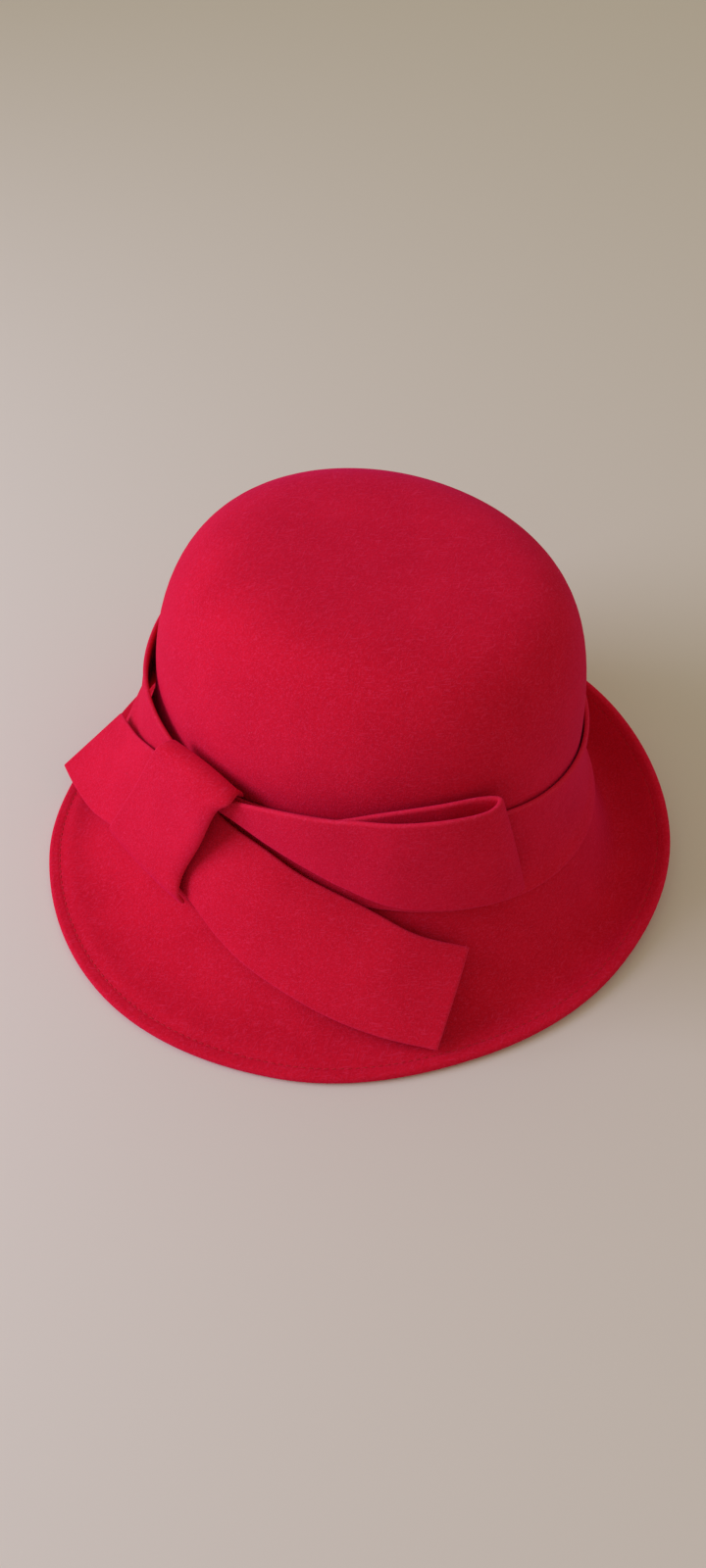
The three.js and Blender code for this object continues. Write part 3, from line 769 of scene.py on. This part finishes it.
def wool_felt(name, dark, light, pale):
    """Matt wool felt of two reds, with paler fibres, cut edges paler for loose fibres and by a painted
    highlight, a fibrous bump, and sheen.
    """
    material = bpy.data.materials.new(name)
    material.use_nodes = True
    tree = material.node_tree
    shader = tree.nodes["Principled BSDF"]
    place = add(tree, "ShaderNodeTexCoord").outputs["Object"]
    grain = add(tree, "ShaderNodeTexNoise", [("Vector", place)], Scale=1 / (GRAIN_MM * MM), Detail=3.0)
    mottle = add(tree, "ShaderNodeTexNoise", [("Vector", place)], Scale=1 / (MOTTLE_MM * MM), Detail=2.0)
    both = add(tree, "ShaderNodeMix", [(2, grain.outputs[0]), (3, mottle.outputs[0])], Factor=MOTTLE_SHARE)
    ramp = add(tree, "ShaderNodeValToRGB", [(0, both.outputs[0])])
    for element, position, colour in zip(ramp.color_ramp.elements, (GRAIN_LOW, GRAIN_HIGH), (dark, light)):
        element.position = position
        element.color = linear(colour)
    strands = fibres(tree, place)
    strand_share = add(tree, "ShaderNodeMath", [(0, strands)], operation="MULTIPLY")
    strand_share.inputs[1].default_value = FIBRE_SHOWS
    # Cut edges go paler: partly loose fibres, partly a painted highlight of the edge catching light.
    edge = add(tree, "ShaderNodeAttribute", attribute_name="edge_fray_and_highlight").outputs["Fac"]
    paler = add(tree, "ShaderNodeMath", [(0, edge), (2, strand_share.outputs[0])], operation="MULTIPLY_ADD",
                use_clamp=True)
    paler.inputs[1].default_value = EDGE_SHOWS
    mixed = add(tree, "ShaderNodeMix", [(0, paler.outputs[0]), (6, ramp.outputs[0])], data_type="RGBA")
    mixed.inputs[7].default_value = linear(pale)
    height = add(tree, "ShaderNodeMath", [(0, strands), (2, grain.outputs[0])], operation="MULTIPLY_ADD")
    height.inputs[1].default_value = FIBRE_HEIGHT
    bump = add(tree, "ShaderNodeBump", [("Height", height.outputs[0])], Strength=BUMP_STRENGTH,
               Distance=BUMP_MM * MM)
    tree.links.new(mixed.outputs[2], shader.inputs["Base Color"])
    tree.links.new(bump.outputs["Normal"], shader.inputs["Normal"])
    shader.inputs["Roughness"].default_value = FELT_ROUGHNESS
    shader.inputs["Specular IOR Level"].default_value = FELT_SPECULAR
    shader.inputs["Sheen Weight"].default_value = SHEEN_WEIGHT
    shader.inputs["Sheen Roughness"].default_value = SHEEN_ROUGHNESS
    shader.inputs["Sheen Tint"].default_value = linear(SHEEN_TINT)
    print(name, "has", len(tree.nodes), "nodes")
    return material


body_felt = wool_felt("blocked_wool_felt", *BODY_REDS)
strip_felt = wool_felt("cut_wool_felt", *STRIP_REDS)
body.data.materials.append(body_felt)
for piece in (band, right_tail, left_tail, bow_loop, bow_wrap):
    piece.data.materials.append(strip_felt)

# %% [markdown]
# The hem is sewn with spun polyester thread dyed to match. It is harder and smoother than the felt,
# so it has a faint shine, and its twist shows as a fine mixture of darker and lighter red.

# %% Sewing thread
TWIST_MM = 0.4
THREAD_DARK, THREAD_LIGHT = "#B81027", "#D01A35"
THREAD_ROUGHNESS, THREAD_SPECULAR = 0.6, 0.3

sewing_thread = bpy.data.materials.new("spun_polyester_thread")
sewing_thread.use_nodes = True
thread_tree = sewing_thread.node_tree
thread_shader = thread_tree.nodes["Principled BSDF"]
thread_place = add(thread_tree, "ShaderNodeTexCoord").outputs["Object"]
twist = add(thread_tree, "ShaderNodeTexNoise", [("Vector", thread_place)], Scale=1 / (TWIST_MM * MM))
plies = add(thread_tree, "ShaderNodeValToRGB", [(0, twist.outputs[0])])
plies.color_ramp.elements[0].color = linear(THREAD_DARK)
plies.color_ramp.elements[1].color = linear(THREAD_LIGHT)
thread_tree.links.new(plies.outputs[0], thread_shader.inputs["Base Color"])
thread_shader.inputs["Roughness"].default_value = THREAD_ROUGHNESS
thread_shader.inputs["Specular IOR Level"].default_value = THREAD_SPECULAR
hem_stitches.data.materials.append(sewing_thread)
print("thread material on", hem_stitches.name)

# %% [markdown]
# The stage is a plain pale floor, a large soft light on the left, as from a window, and pale light
# from all round.

# %% Floor and light
FLOOR_SIZE = 8.0
FLOOR_COLOUR, FLOOR_ROUGHNESS = "#D8CFC6", 0.8
WINDOW_PLACE, WINDOW_SIZE, WINDOW_WATTS, WINDOW_COLOUR = (-0.9, 0.73, 0.67), 0.8, 15.4, "#D8DCFF"
ROOM_STRENGTH, ROOM_COLOUR = 0.5, "#FFF6DA"

bpy.ops.mesh.primitive_plane_add(size=FLOOR_SIZE, location=(0, 0, 0))
floor = bpy.context.object
floor.name = "floor"
floor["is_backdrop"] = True
paint = bpy.data.materials.new("matt_floor_paint")
paint.use_nodes = True
paint_shader = paint.node_tree.nodes["Principled BSDF"]
paint_shader.inputs["Base Color"].default_value = linear(FLOOR_COLOUR)
paint_shader.inputs["Roughness"].default_value = FLOOR_ROUGHNESS
floor.data.materials.append(paint)

world = bpy.data.worlds.new("pale_room")
world.use_nodes = True
background = world.node_tree.nodes["Background"]
background.inputs["Color"].default_value = linear(ROOM_COLOUR)
background.inputs["Strength"].default_value = ROOM_STRENGTH
bpy.context.scene.world = world

window_data = bpy.data.lights.new("window", "AREA")
window_data.size = WINDOW_SIZE
window_data.energy = WINDOW_WATTS
window_data.color = linear(WINDOW_COLOUR)[:3]
window = bpy.data.objects.new("window", window_data)
window.location = WINDOW_PLACE
window.rotation_mode = "QUATERNION"
window.rotation_quaternion = (-window.location).to_track_quat("-Z", "Y")
bpy.context.scene.collection.objects.link(window)
print("the window is", round(window.location.length, 2), "m from the hat")

# %% [markdown]
# The camera stands where the photo was taken from, above the hat and looking down steeply. Its place
# is measured from the middle of the crown's oval, and its lens is given as a length in the photo's
# pixels, which is how the fit to the hat's outline gave it.

# %% Camera
CAMERA_FROM_CENTRE_MM = (-271.0, -265.7, 450.2)
CAMERA_AZIMUTH, CAMERA_PITCH, CAMERA_ROLL = -44.7, -49.5, 1.39
IMAGE_HEIGHT_PX, FOCAL_PX = 1600, 1200
SENSOR_MM = 36.0

camera_data = bpy.data.cameras.new("camera")
camera_data.sensor_fit = "VERTICAL"
camera_data.sensor_height = SENSOR_MM
camera_data.lens = FOCAL_PX / IMAGE_HEIGHT_PX * SENSOR_MM
camera = bpy.data.objects.new("camera", camera_data)
camera.location = (CENTRE + CAMERA_FROM_CENTRE_MM) * MM
camera.rotation_mode = "QUATERNION"
azimuth, pitch = math.radians(CAMERA_AZIMUTH), math.radians(CAMERA_PITCH)
ahead = Vector((-math.sin(azimuth) * math.cos(pitch), math.cos(azimuth) * math.cos(pitch), math.sin(pitch)))
camera.rotation_quaternion = Quaternion(ahead, math.radians(CAMERA_ROLL)) @ ahead.to_track_quat("-Z", "Y")
bpy.context.scene.collection.objects.link(camera)
bpy.context.scene.camera = camera
bpy.context.scene.view_settings.view_transform = "Standard"
print("the camera looks along", [round(value, 3) for value in ahead])

# %% [markdown]
# The finished look stays within the imported model's box, and both boxes are printed.

# %% Print both boxes
visual_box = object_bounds()
both_boxes = {"cad": [list(corner) for corner in cad_box], "visual": [list(corner) for corner in visual_box]}
for label, corners in both_boxes.items():
    print(label, np.round(np.array(corners) / MM, 1).tolist(), "mm")
